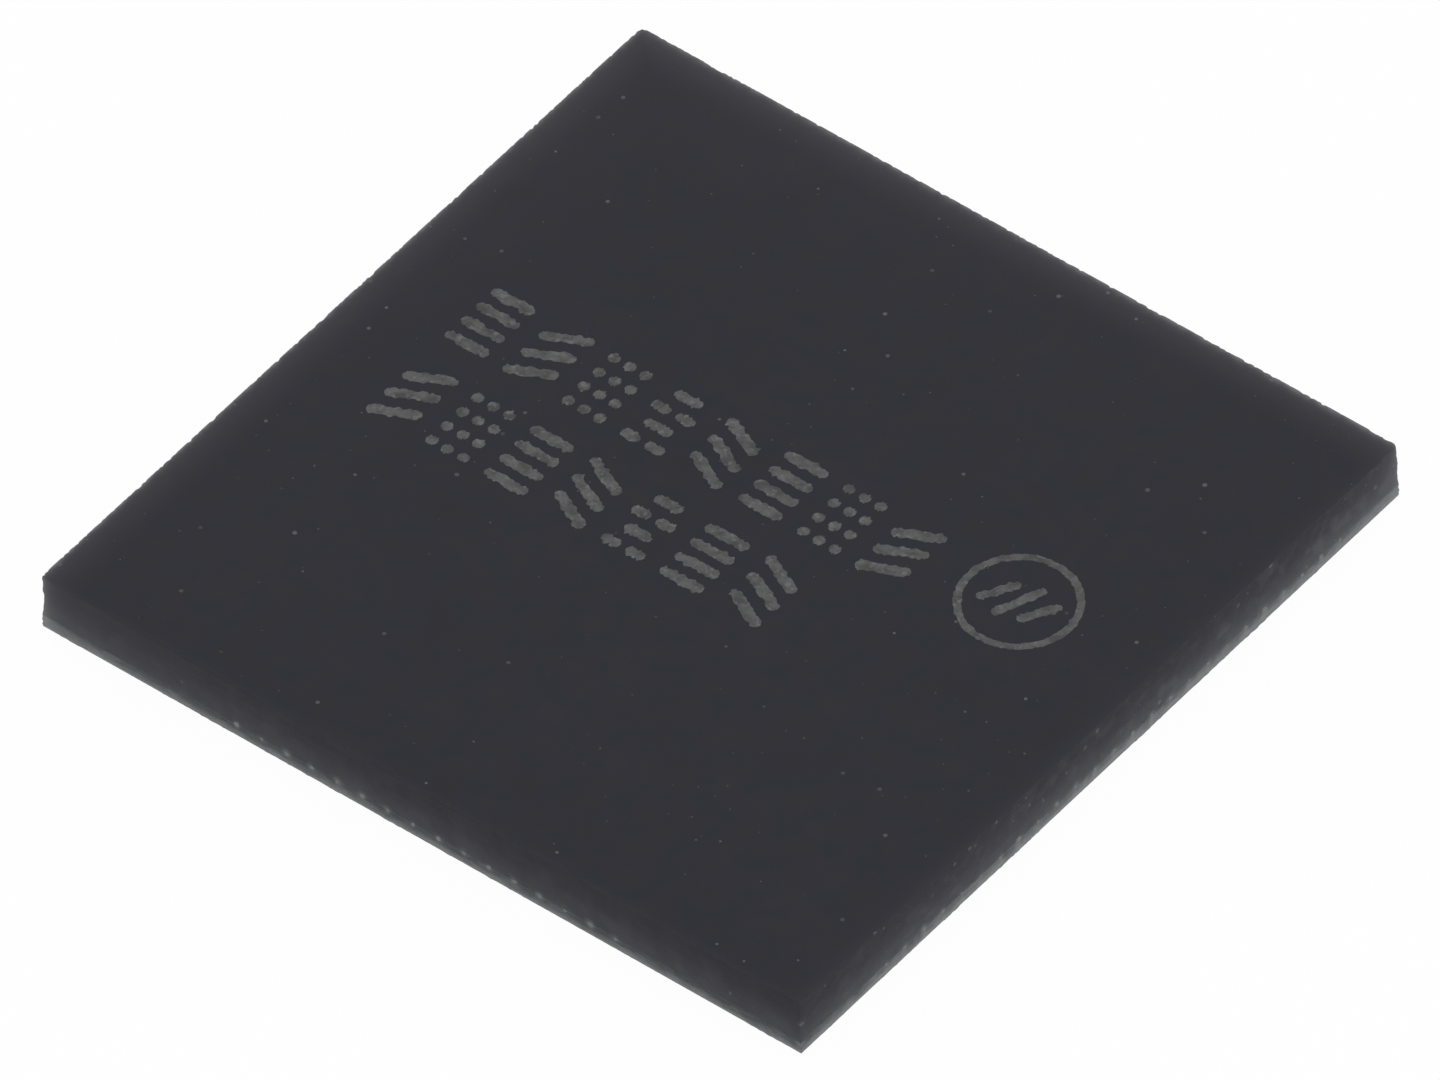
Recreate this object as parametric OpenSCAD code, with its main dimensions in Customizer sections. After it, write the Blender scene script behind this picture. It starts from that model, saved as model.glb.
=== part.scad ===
// Moulded ball grid array package, in millimetres.
// The origin is at the middle of the plane that the solder balls stand on, +Z is up, and ball A1 is at
// the corner in -X and +Y. Four like sides of copper fan out from the die, one quarter turn apart.

/* [Body] */
// Side of the square body, sawn square through cap and substrate
body_side = 12; // [11.9:0.05:12.5]
// Height of the moulded cap above the substrate
cap_height = 0.69; // [0.6:0.01:0.9]

/* [Substrate] */
// Thickness of the glass-filled laminate core
core_thickness = 0.15; // [0.1:0.01:0.3]
// Thickness of each copper layer
copper_thickness = 0.018; // [0.012:0.001:0.025]
// Thickness of each solder mask where it lies on the laminate
mask_thickness = 0.03; // [0.028:0.001:0.04]
// Width of a copper trace
trace_width = 0.05; // [0.04:0.005:0.055]

/* [Solder balls] */
// Distance between neighbouring balls
ball_pitch = 0.75; // [0.73:0.005:0.76]
// Diameter of a soldered ball
ball_diameter = 0.4; // [0.38:0.01:0.44]
// Clearance between the plane that the balls stand on and the substrate
standoff = 0.28; // [0.26:0.01:0.3]
// Diameter of the mask opening over a land
opening_diameter = 0.34; // [0.3:0.01:0.35]
// Diameter of a copper land
land_diameter = 0.42; // [0.4:0.01:0.45]

/* [Vias] */
// Diameter of the drilled hole
drill_diameter = 0.1; // [0.08:0.01:0.11]
// Diameter of the copper pad around it
via_pad_diameter = 0.18; // [0.16:0.01:0.19]
// Thickness of the copper plated in the hole
barrel_wall = 0.015; // [0.01:0.001:0.02]

/* [Die and wires] */
// Side of the square die
die_side = 5.4; // [5.2:0.05:5.5]
// Thickness of the die
die_thickness = 0.25; // [0.15:0.01:0.26]
// Thickness of the film that holds the die
film_thickness = 0.025; // [0.015:0.005:0.04]
// Diameter of a bond wire
wire_diameter = 0.025; // [0.02:0.001:0.03]
// Height of a wire's loop above the die
loop_height = 0.13; // [0.11:0.01:0.15]
// Width of a bond finger
finger_width = 0.08; // [0.06:0.005:0.085]
// Length of a bond finger
finger_length = 0.33; // [0.3:0.01:0.35]

/* [Plating tails] */
// Tails on the sides that run with the marking
tails_with_marking = 16; // [8:1:20]
// Distance between their sawn ends
tail_pitch_with_marking = 0.4; // [0.38:0.01:0.41]
// How far they lie off the middle of their side
tail_shift_with_marking = 0.09; // [0:0.01:0.12]
// Tails on the other two sides
tails_across_marking = 25; // [8:1:26]
// Distance between their sawn ends
tail_pitch_across_marking = 0.38; // [0.36:0.01:0.4]
// How far they lie off the middle of their side
tail_shift_across_marking = 0.05; // [0:0.01:0.12]

/* [Hidden] */
$fn = 48;

// The grid is 14 by 14 with only its three outer rings filled
grid_count = 14;
ring_count = 3;
grid_half = (grid_count - 1) / 2 * ball_pitch;
body_half = body_side / 2;

// Levels, from the seating plane up
bottom_copper_z = standoff + mask_thickness - copper_thickness;
core_z = standoff + mask_thickness;
core_top_z = core_z + core_thickness;
top_copper_z = core_top_z + copper_thickness;
cap_z = core_top_z + mask_thickness;
film_z = cap_z;
die_z = film_z + film_thickness;
die_top_z = die_z + die_thickness;

// Distances from the centre of the package to the features of a side
outer_via_y = grid_count / 2 * ball_pitch;
inner_via_y = outer_via_y - (ring_count - 1) * ball_pitch;
finger_end_y = inner_via_y - 0.3;
finger_start_y = finger_end_y - finger_length;
window_start_y = finger_start_y - 0.04;
window_end_y = finger_end_y - 0.05;
paddle_half = die_side / 2 + 0.15;
pad_y = die_side / 2 - 0.1;
stitch_y = (finger_start_y + window_end_y) / 2;

// A tail leaves its ray beyond the outer vias and ends square to the side
tail_bend_y = outer_via_y + via_pad_diameter / 2 + 0.06;
tail_straight = 0.12;

// Radius of the ink that plugs a via
plug_radius = drill_diameter / 2 - barrel_wall;

// Bond wire details
plating_thickness = 0.005;
plating_top_z = top_copper_z + plating_thickness;
wire_radius = wire_diameter / 2;
loop_radius = 2 * wire_diameter;
bond_radius = 1.2 * wire_diameter;
bond_height = 0.012;
stitch_height = 0.006;
neck_height = loop_height - loop_radius;

// A side's own balls: each ring gives it a row that stops one ball short of the next corner.
// An entry holds the ball's x and y and the distance of its via from the centre.
side_balls = [
    for (ring = [0:ring_count - 1])
        for (i = [0:grid_count - 2 - 2 * ring])
            [
                (i + ring) * ball_pitch - grid_half,
                grid_half - ring * ball_pitch,
                outer_via_y - ring * ball_pitch
            ]
];
net_count = len(side_balls);

// Each net runs on a straight ray from the centre, and a ray's slope is its x over its y. Rays are
// dealt out in the order of the balls' own slopes, so no two nets cross. Equal slopes go by ring.
tie_break = 1e-6;
outer_slope = (grid_count / 2 - 1) * ball_pitch / outer_via_y;
slope_step = 2 * outer_slope / (net_count - 1);
function order_key(ball) = ball[0] / ball[2] - ball[1] * tie_break;
function rank(ball) = len([for (other = side_balls) if (order_key(other) < order_key(ball)) 1]);
function place(ball) = rank(ball) - (net_count - 1) / 2;
nets = [for (ball = side_balls) [ball, place(ball)]];
function slope(net) = net[1] * slope_step;
function ball_xy(net) = [net[0][0], net[0][1]];
function on_ray(net, y) = [slope(net) * y, y];
function via_xy(net) = on_ray(net, net[0][2]);

// An angle to the nearest tenth of a degree
function tenth(angle) = round(10 * angle) / 10;

// Plan length from the centre to the point of a ray at distance y
function reach(net, y) = norm(on_ray(net, y));

// Outline of a band of even width along a path, mitred at the bends
function normal(a, b) = [a[1] - b[1], b[0] - a[0]] / norm(b - a);
function mitre(path, i) =
    i == 0 ? normal(path[0], path[1])
    : i == len(path) - 1 ? normal(path[i - 1], path[i])
    : let (
        before = normal(path[i - 1], path[i]),
        both = before + normal(path[i], path[i + 1])
    ) both / (both * before);
function band(path, width) = concat(
    [for (i = [0:len(path) - 1]) path[i] + mitre(path, i) * width / 2],
    [for (i = [len(path) - 1:-1:0]) path[i] - mitre(path, i) * width / 2]
);

// Sides are numbered clockwise from the one in +Y
north = 0;
east = 1;
south = 2;
west = 3;
function with_marking(side) = side % 2 == 0;
function tail_count(side) = with_marking(side) ? tails_with_marking : tails_across_marking;
function tail_pitch(side) = with_marking(side) ? tail_pitch_with_marking : tail_pitch_across_marking;
function tail_shift(side) = with_marking(side) ? tail_shift_with_marking : tail_shift_across_marking;
function has_tail(net, side) = net[1] >= -ceil(tail_count(side) / 2) && net[1] < floor(tail_count(side) / 2);
function tail_x(net, side) = (net[1] + 0.5) * tail_pitch(side) - tail_shift(side);
function trace_path(net, side) =
    has_tail(net, side) ? [
        on_ray(net, stitch_y),
        on_ray(net, tail_bend_y),
        [tail_x(net, side), body_half - tail_straight],
        [tail_x(net, side), body_half]
    ]
    : [on_ray(net, stitch_y), via_xy(net)];

module turn_to(side) rotate([0, 0, -90 * side]) children();

module each_side() for (side = [north:west]) turn_to(side) children();

module square_plate(half, z, height) translate([-half, -half, z]) cube([2 * half, 2 * half, height]);

module finger(net) polygon(band([on_ray(net, finger_start_y), on_ray(net, finger_end_y)], finger_width));

module upper_foil() translate([0, 0, core_top_z]) linear_extrude(copper_thickness) children();

module lower_foil() translate([0, 0, bottom_copper_z]) linear_extrude(copper_thickness) children();

module via_column(net, radius, z, height) translate(concat(via_xy(net), z)) cylinder(height, r = radius);

module window() difference() {
    square(2 * window_end_y, center = true);
    square(2 * window_start_y, center = true);
}

// Copper of one net on the upper face: bond finger, trace, via pad and the tail to the sawn side
module upper_net(net, side) difference() {
    union() {
        upper_foil() finger(net);
        upper_foil() polygon(band(trace_path(net, side), trace_width));
        upper_foil() translate(via_xy(net)) circle(d = via_pad_diameter);
    }
    via_column(net, plug_radius, core_top_z - 1, 2);
}

// Copper of one net on the lower face: via pad, short link and the land of the ball
module lower_net(net) difference() {
    union() {
        lower_foil() translate(ball_xy(net)) circle(d = land_diameter);
        lower_foil() polygon(band([ball_xy(net), via_xy(net)], trace_width));
        lower_foil() translate(via_xy(net)) circle(d = via_pad_diameter);
    }
    via_column(net, plug_radius, bottom_copper_z - 1, 2);
}

module top_copper(side) color("peru") turn_to(side) for (net = nets) upper_net(net, side);

module bottom_copper(side) color("peru") turn_to(side) for (net = nets) lower_net(net);

module die_paddle() color("peru") square_plate(paddle_half, core_top_z, copper_thickness);

// Nickel and gold on the part of each finger that the mask leaves open
module finger_plating() color("gold") each_side()
    translate([0, 0, top_copper_z]) linear_extrude(plating_thickness)
        for (net = nets) intersection() {
            finger(net);
            window();
        }

module via_columns(radius, z, height) each_side() for (net = nets) via_column(net, radius, z, height);

module via_barrels() color("peru") difference() {
    via_columns(drill_diameter / 2, core_z, core_thickness);
    via_columns(plug_radius, core_z - 1, core_thickness + 2);
}

module via_plugs() color("darkgreen")
    via_columns(plug_radius, bottom_copper_z, top_copper_z - bottom_copper_z);

module laminate_core() color("darkkhaki") difference() {
    square_plate(body_half, core_z, core_thickness);
    via_columns(drill_diameter / 2, core_z - 1, core_thickness + 2);
}

module top_solder_mask() color("darkgreen") difference() {
    square_plate(body_half, core_top_z, mask_thickness);
    for (side = [north:west]) top_copper(side);
    die_paddle();
    via_plugs();
    translate([0, 0, core_top_z - 1]) linear_extrude(mask_thickness + 2) window();
}

// Openings of the lower mask, in one quarter of the grid
module land_openings() each_side()
    for (net = nets) translate(concat(ball_xy(net), standoff - 1)) cylinder(2, d = opening_diameter);

// Small bare triangle that marks the corner of ball A1
index_leg = 0.5;
index_inset = 0.22;
module index_outline() translate([index_inset - body_half, body_half - index_inset])
    polygon([[0, 0], [index_leg, 0], [0, -index_leg]]);

module corner_index() color("gold")
    translate([0, 0, standoff]) linear_extrude(mask_thickness) index_outline();

module bottom_solder_mask() color("darkgreen") difference() {
    square_plate(body_half, standoff, mask_thickness);
    for (side = [north:west]) bottom_copper(side);
    via_plugs();
    corner_index();
    land_openings();
}

module silicon_die() color("dimgray") square_plate(die_side / 2, die_z, die_thickness);

module die_attach_film() color("gainsboro") square_plate(die_side / 2, film_z, film_thickness);

// One wire, in the upright plane of its ray: a pressed ball on the die, a short neck, a quarter bend
// and a straight run that is tangent to the bend and lands on the finger
module bond_wire(net) {
    drop = die_top_z + neck_height - plating_top_z;
    span = reach(net, stitch_y) - reach(net, pad_y) - loop_radius;
    fall = tenth(atan2(drop, span) + asin(loop_radius / norm([span, drop])));
    rotate([0, 0, 90 - atan(slope(net))]) {
        translate([reach(net, pad_y), 0, die_top_z]) {
            cylinder(bond_height, r = bond_radius);
            cylinder(neck_height, r = wire_radius);
            translate([loop_radius, 0, neck_height]) rotate([90, 0, 0]) rotate([0, 0, 90 - fall]) {
                rotate_extrude(angle = 90 + fall) translate([loop_radius, 0]) circle(wire_radius);
                translate([loop_radius, 0, 0]) rotate([90, 0, 0])
                    cylinder(norm([span, drop]), r = wire_radius);
            }
        }
        translate([reach(net, stitch_y), 0, plating_top_z]) cylinder(stitch_height, r = bond_radius);
    }
}

module bond_wires(side) color("gold") turn_to(side) difference() {
    for (net = nets) bond_wire(net);
    square_plate(body_half, plating_top_z - 1, 1);
}

module mould_cap() color("#343338") difference() {
    union() {
        square_plate(body_half, cap_z, cap_height);
        translate([0, 0, core_top_z]) linear_extrude(mask_thickness) window();
    }
    each_side() for (net = nets) upper_foil() finger(net);
    finger_plating();
    die_attach_film();
    silicon_die();
    for (side = [north:west]) bond_wires(side);
}

// A ball is cut level with the mask and has a neck that fills the opening down to the land
module solder_ball() {
    difference() {
        translate([0, 0, ball_diameter / 2]) sphere(d = ball_diameter);
        square_plate(ball_diameter, standoff, ball_diameter);
    }
    translate([0, 0, standoff]) cylinder(mask_thickness - copper_thickness, d = opening_diameter);
}

// Ball row, counted from 0 at +Y: the outer rows are full and the others have balls at both ends only
module ball_row(row) color("silver")
    for (column = [0:grid_count - 1])
        if (min(row, column, grid_count - 1 - row, grid_count - 1 - column) < ring_count)
            translate([column * ball_pitch - grid_half, grid_half - row * ball_pitch, 0]) solder_ball();

mould_cap();
silicon_die();
die_attach_film();
bond_wires(north);  // bond_wires_north
bond_wires(east);  // bond_wires_east
bond_wires(south);  // bond_wires_south
bond_wires(west);  // bond_wires_west
finger_plating();
top_solder_mask();
die_paddle();
top_copper(north);  // top_copper_north
top_copper(east);  // top_copper_east
top_copper(south);  // top_copper_south
top_copper(west);  // top_copper_west
laminate_core();
via_barrels();
via_plugs();
bottom_copper(north);  // bottom_copper_north
bottom_copper(east);  // bottom_copper_east
bottom_copper(south);  // bottom_copper_south
bottom_copper(west);  // bottom_copper_west
corner_index();
bottom_solder_mask();
ball_row(0);  // ball_row_a
ball_row(1);  // ball_row_b
ball_row(2);  // ball_row_c
ball_row(3);  // ball_row_d
ball_row(4);  // ball_row_e
ball_row(5);  // ball_row_f
ball_row(6);  // ball_row_g
ball_row(7);  // ball_row_h
ball_row(8);  // ball_row_j
ball_row(9);  // ball_row_k
ball_row(10);  // ball_row_l
ball_row(11);  // ball_row_m
ball_row(12);  // ball_row_n
ball_row(13);  // ball_row_p
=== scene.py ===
"""Moulded ball grid array package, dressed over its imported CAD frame, with a studio stage.

Shapes are worked out in millimetres with numpy and put into the meshes in metres. The package stands
on its balls at z = 0, +X runs along the lines of marking and ball A1 is at the corner in -X and +Y.
"""

import math

import bpy
import numpy as np
from mathutils import Matrix, Vector


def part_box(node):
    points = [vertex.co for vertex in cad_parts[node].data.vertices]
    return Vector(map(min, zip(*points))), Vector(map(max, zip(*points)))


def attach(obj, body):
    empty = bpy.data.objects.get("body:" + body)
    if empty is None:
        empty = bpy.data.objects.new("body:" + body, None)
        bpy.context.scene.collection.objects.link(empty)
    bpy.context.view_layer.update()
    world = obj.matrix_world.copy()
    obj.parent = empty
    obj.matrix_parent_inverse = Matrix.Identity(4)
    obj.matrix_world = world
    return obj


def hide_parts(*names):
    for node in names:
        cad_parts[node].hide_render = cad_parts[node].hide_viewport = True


bl_info = {
    "name": "Ball grid array package",
    "version": (1, 0, 0),
    "blender": (4, 5, 0),
    "location": "3D View > Sidebar > Package",
    "description": "Builds the visible surfaces and finishes of a moulded ball grid array package",
    "category": "Object",
}

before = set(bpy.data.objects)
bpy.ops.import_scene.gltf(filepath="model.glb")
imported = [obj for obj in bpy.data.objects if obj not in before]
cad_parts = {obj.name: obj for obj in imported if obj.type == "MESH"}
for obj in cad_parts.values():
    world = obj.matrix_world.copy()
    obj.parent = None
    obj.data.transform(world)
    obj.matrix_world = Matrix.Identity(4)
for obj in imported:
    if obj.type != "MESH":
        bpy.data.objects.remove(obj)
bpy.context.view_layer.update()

MM = 0.001
SEED = 41


def millimetres(value):
    """A length in metres as millimetres, free of float noise."""
    return round(value / MM, 4)


def heights(node):
    """Lowest and highest z of a node of the frame, in millimetres."""
    return [millimetres(corner.z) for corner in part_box(node)]


# Half the body's side, and the levels of its layers
HALF = millimetres(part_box("laminate_core")[1].x)
CAP_TOP = heights("mould_cap")[1]
UPPER_MASK_FOOT, UPPER_MASK_TOP = heights("top_solder_mask")
LOWER_MASK_FOOT, LOWER_MASK_TOP = heights("bottom_solder_mask")
TAIL_LEVEL = sum(heights("top_copper_north")) / 2

# Upright corners of the body, as the camera sees them
LEFT_CORNER, NEAR_CORNER = (-HALF, -HALF), (HALF, -HALF)
RIGHT_CORNER, FAR_CORNER = (HALF, HALF), (-HALF, HALF)

# Span of x or y over which a pattern comes in that only the sides have
SIDE_SPAN = (HALF - 0.1, HALF - 0.04)

# The drawing of the package fixes these: 14 by 14 places with only the three outer rings filled
GRID_COUNT = 14
RING_COUNT = 3
ROW_LETTERS = "abcdefghjklmnp"
SIDES = ("north", "east", "south", "west")
TAILS_WITH_MARKING = 16
TAILS_ACROSS_MARKING = 25

# Steps of the path round the body, levels up the cap's side, and the name of its share of chipping
PATH_STEPS = 3200
WALL_LEVELS = 15
CHIPPED = "chipped"


def length(name, text, value):
    """A length property with its default in metres."""
    return bpy.props.FloatProperty(
        name=name, description=text, default=value * MM, min=0.0, unit="LENGTH", precision=6
    )


def colour(name, text, value):
    """A colour property, in linear light."""
    return bpy.props.FloatVectorProperty(
        name=name, description=text, default=value, size=3, min=0.0, max=1.0, subtype="COLOR"
    )


class PackageSizes(bpy.types.PropertyGroup):
    """Sizes of the surfaces that are laid over the frame."""

    edge_radius: length("Edge radius", "Rounding of the cap's upper edge", 0.012)
    chip_depth: length("Chip depth", "Depth of the largest chips along the sawn edges", 0.012)
    saw_relief: length("Saw relief", "Unevenness that the saw leaves on the cap", 0.001)
    fibre_relief: length("Fibre relief", "How far cut glass fibres stand out of the laminate", 0.004)
    mark_width: length("Mark width", "Width of a stroke of the marking", 0.165)
    mark_height: length("Mark height", "Height of the marking over the cap", 0.003)
    ball_diameter: length("Ball diameter", "Diameter of a soldered ball", 0.4)
    ball_pitch: length("Ball pitch", "Distance between neighbouring balls", 0.75)
    land_diameter: length("Land diameter", "Diameter of a copper land under the mask", 0.42)
    mask_ridge: length("Mask ridge", "How far the mask stands up over the copper", 0.009)
    tail_pitch_with: length("Tail pitch, along", "Pitch of the tails on the sides along the marking", 0.4)
    tail_pitch_across: length("Tail pitch, across", "Pitch of the tails on the other two sides", 0.38)
    tail_shift_with: length("Tail shift, along", "How far they lie off the middle of those sides", 0.09)
    tail_shift_across: length("Tail shift, across", "How far they lie off the middle of the others", 0.05)
    tail_size: length("Tail size", "Width of the metal smeared round a tail end", 0.068)


class PackageColours(bpy.types.PropertyGroup):
    """Colours of the finishes."""

    mould: colour("Moulded face", "Charcoal of the cap's moulded top", (0.0234, 0.023, 0.03))
    sawn: colour("Sawn face", "The same compound where the saw went through it", (0.0208, 0.0206, 0.0287))
    # The sawn foot's paler tone is partly dust and partly painted light from the bright floor below
    sawn_foot_dust_and_light: colour("Sawn foot", "The sawn compound at its foot, paled by dust", (0.0864, 0.0877, 0.1))
    # This tone is also laid as painted light on the outline's edges and corners, and in the chips
    filler: colour("Filler grain", "Grains of filler and dust that show as light specks", (0.17, 0.17, 0.18))
    laminate: colour("Laminate", "Resin of the glass-filled core", (0.051, 0.052, 0.055))
    glass: colour("Glass yarn", "Cut glass yarn in the edge of the core", (0.172, 0.176, 0.182))
    mask: colour("Solder mask", "Green solder mask", (0.012, 0.085, 0.04))
    # The lower mask's pale edge is partly burr and partly painted light from the floor just below
    mask_burr_and_light: colour("Mask burr", "Edge of the lower mask, paled by the saw", (0.2, 0.207, 0.202))
    copper: colour("Copper", "Copper foil and plating", (0.72, 0.36, 0.22))
    gold: colour("Gold", "Gold wire and plating", (0.86, 0.62, 0.27))
    silicon: colour("Silicon", "Ground silicon", (0.13, 0.14, 0.17))
    film: colour("Die film", "Film under the die", (0.42, 0.42, 0.43))
    solder: colour("Solder", "Ball solder", (0.52, 0.53, 0.545))
    tail: colour("Tail end", "Sawn metal of a plating tail", (0.2, 0.2, 0.196))
    mark: colour("Marking", "Compound lightened by the marking laser", (0.109, 0.1095, 0.1115))
    floor: colour("Floor", "Studio floor", (0.94, 0.94, 0.94))


# Meshes


def ring_noise(rng, shape, lengths):
    """Random field of unit spread that repeats in both directions.

    White noise is blurred by a Gaussian whose spread is the given number of steps in each direction.
    The blur multiplies the noise's Fourier transform by exp(-2 (pi f s)^2).
    """
    spectrum = np.fft.fft2(rng.standard_normal(shape))
    rows = np.fft.fftfreq(shape[0])[:, None] * lengths[0]
    columns = np.fft.fftfreq(shape[1])[None, :] * lengths[1]
    field = np.fft.ifft2(spectrum * np.exp(-2 * math.pi**2 * (rows**2 + columns**2))).real
    return field / field.std()


def scatter(rng, shape):
    """Random values of about unit spread, none past one and a half."""
    return rng.standard_normal(shape).clip(-1.5, 1.5)


def circle(turns):
    """Angles of points spaced evenly round a circle."""
    return np.arange(turns) / turns * 2 * math.pi


def square_path(count):
    """Points of a square of half side 1, evenly spaced and counter-clockwise from (-1, -1)."""
    turn = np.arange(count) * 4.0 / count
    side = turn.astype(int)
    along = 2 * (turn - side) - 1
    x = np.select([side == 0, side == 1, side == 2], [along, 1.0, -along], -1.0)
    y = np.select([side == 0, side == 1, side == 2], [-1.0, along, 1.0], -along)
    return np.stack([x, y], 1)


def square_ring(count, reach, level):
    """Points of a square path times its reach, at a level; both may differ from point to point."""
    return np.column_stack([square_path(count) * np.reshape(reach, (-1, 1)), np.broadcast_to(level, count)])


def join_rings(low, low_count, high, high_count):
    """Faces between two closed rings of points, whose points start at index low and high.

    Rings of like count are joined by quads, and a single point to a ring by triangles. Where a ring has
    twice the points of the other, each step of the coarse ring gets three triangles. Faces point
    outwards if the rings run counter-clockwise.
    """
    fewest, most = sorted((low_count, high_count))
    i = np.arange(most if fewest == 1 else fewest)
    j = (i + 1) % len(i)
    if low_count == high_count:
        return [np.stack([low + i, low + j, high + j, high + i], 1)]
    if low_count == 1:
        return [np.stack([np.full_like(i, low), high + j, high + i], 1)]
    if high_count == 1:
        return [np.stack([low + i, low + j, np.full_like(i, high)], 1)]
    a = 2 * i
    b = a + 1
    c = (a + 2) % most
    fine, coarse, order = (low, high, 1) if low_count > high_count else (high, low, -1)
    corners = (
        (fine + a, fine + b, coarse + i),
        (fine + b, coarse + j, coarse + i),
        (fine + b, fine + c, coarse + j),
    )
    return [np.stack(corner[::order], 1) for corner in corners]


def lathe_faces(steps, turns, closed_steps):
    """Quads of a grid of steps by turns points whose second direction is closed."""
    i = np.arange(steps if closed_steps else steps - 1)[:, None] * turns
    k = ((np.arange(len(i)) + 1) % steps)[:, None] * turns
    j = np.arange(turns)[None, :]
    n = (j + 1) % turns
    return np.stack([i + j, i + n, k + n, k + j], 2).reshape(-1, 4)


def tube_faces(steps, turns):
    """Faces of a grid of steps by turns points as a tube, with a face of many corners at either end."""
    end = np.arange(turns)
    return [lathe_faces(steps, turns, False), np.stack([end[::-1], (steps - 1) * turns + end])]


def repeat_faces(faces, count, stride):
    """The same faces for each of count copies whose points lie stride apart."""
    return (faces[None] + (np.arange(count) * stride)[:, None, None]).reshape(-1, faces.shape[1])


def turned(profile, turns):
    """Points of a profile of radius and height, turned about Z in equal steps."""
    radius, level = np.array(profile).T[:, :, None]
    angle = circle(turns)
    return np.stack([radius * np.cos(angle), radius * np.sin(angle), level + 0 * angle], 2).reshape(-1, 3)


def copied(unit, places):
    """Points of a unit shape, moved to each of the places in x and y."""
    return unit + np.pad(places, ((0, 0), (0, 1)))[:, None, :]


def revolved(profile, turns, places, closed):
    """Points and faces of a profile turned about each place, as a closed ring or as a tube."""
    unit = turned(profile, turns)
    steps = len(profile)
    faces = [lathe_faces(steps, turns, True)] if closed else tube_faces(steps, turns)
    return copied(unit, places).reshape(-1, 3), [repeat_faces(f, len(places), len(unit)) for f in faces]


def joined(parts):
    """Points and faces of several parts as those of one."""
    starts = np.cumsum([0] + [len(points) for points, _ in parts])
    faces = [f + start for start, (_, part_faces) in zip(starts, parts) for f in part_faces]
    return np.concatenate([points for points, _ in parts]), faces


def make_piece(name, points, faces, materials, slot, picks=None, replaced=(), sharp=40.0, weights=None):
    """Mesh object from points in millimetres and a list of face index arrays, riding on the root.

    Picks holds the material index of each face. Weights are named values of the points, which the
    materials read as attributes.
    """
    mesh = bpy.data.meshes.new(name)
    mesh.vertices.add(len(points))
    mesh.vertices.foreach_set("co", (np.asarray(points) * MM).astype(np.float32).ravel())
    corners = np.concatenate([f.ravel() for f in faces]).astype(np.int32)
    sizes = np.concatenate([np.full(len(f), f.shape[1]) for f in faces])
    mesh.loops.add(len(corners))
    mesh.loops.foreach_set("vertex_index", corners)
    mesh.polygons.add(len(sizes))
    starts = np.concatenate([[0], np.cumsum(sizes)[:-1]]).astype(np.int32)
    mesh.polygons.foreach_set("loop_start", starts)
    for material in materials:
        mesh.materials.append(material)
    if picks is not None:
        mesh.polygons.foreach_set("material_index", np.concatenate(picks).astype(np.int32))
    mesh.polygons.foreach_set("use_smooth", np.ones(len(sizes), bool))
    mesh.update(calc_edges=True)
    mesh.set_sharp_from_angle(angle=math.radians(sharp))
    if mesh.validate(verbose=False):
        raise RuntimeError(f"the mesh of {name} isn't sound")
    for key, values in (weights or {}).items():
        mesh.attributes.new(key, "FLOAT", "POINT").data.foreach_set("value", values.astype(np.float32))
    piece = bpy.data.objects.new(name, mesh)
    bpy.context.scene.collection.objects.link(piece)
    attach(piece, "root")
    if replaced:
        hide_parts(*replaced)
    return piece


# Nodes of materials and of the surround


def is_socket(value):
    """Whether a value is a node's socket, and not a plain number or colour."""
    return isinstance(value, bpy.types.NodeSocket)


class Nodes:
    """Nodes of a tree, added one by one and linked as they come."""

    def __init__(self, tree):
        self.tree = tree
        self.tree.nodes.clear()

    def add(self, kind, settings=None, **inputs):
        """Adds a node. An input that is a socket is linked, and any other value is set on the input."""
        node = self.tree.nodes.new(kind)
        for key, value in (settings or {}).items():
            setattr(node, key, value)
        for key, value in inputs.items():
            self.feed(node.inputs[key.replace("_", " ")], value)
        return node

    def feed(self, socket, value):
        """Links a socket to an input, or sets any other value on it."""
        if is_socket(value):
            self.tree.links.new(value, socket)
        else:
            socket.default_value = value

    def math(self, operation, first, second=0.0):
        """Result of one operation on two values."""
        node = self.add("ShaderNodeMath", {"operation": operation})
        self.feed(node.inputs[0], first)
        self.feed(node.inputs[1], second)
        return node.outputs[0]

    def mix(self, factor, first, second):
        """Surface that goes from first to second with the factor."""
        node = self.add("ShaderNodeMixShader")
        for socket, value in zip(node.inputs, (factor, first, second)):
            self.feed(socket, value)
        return node.outputs[0]


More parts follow.
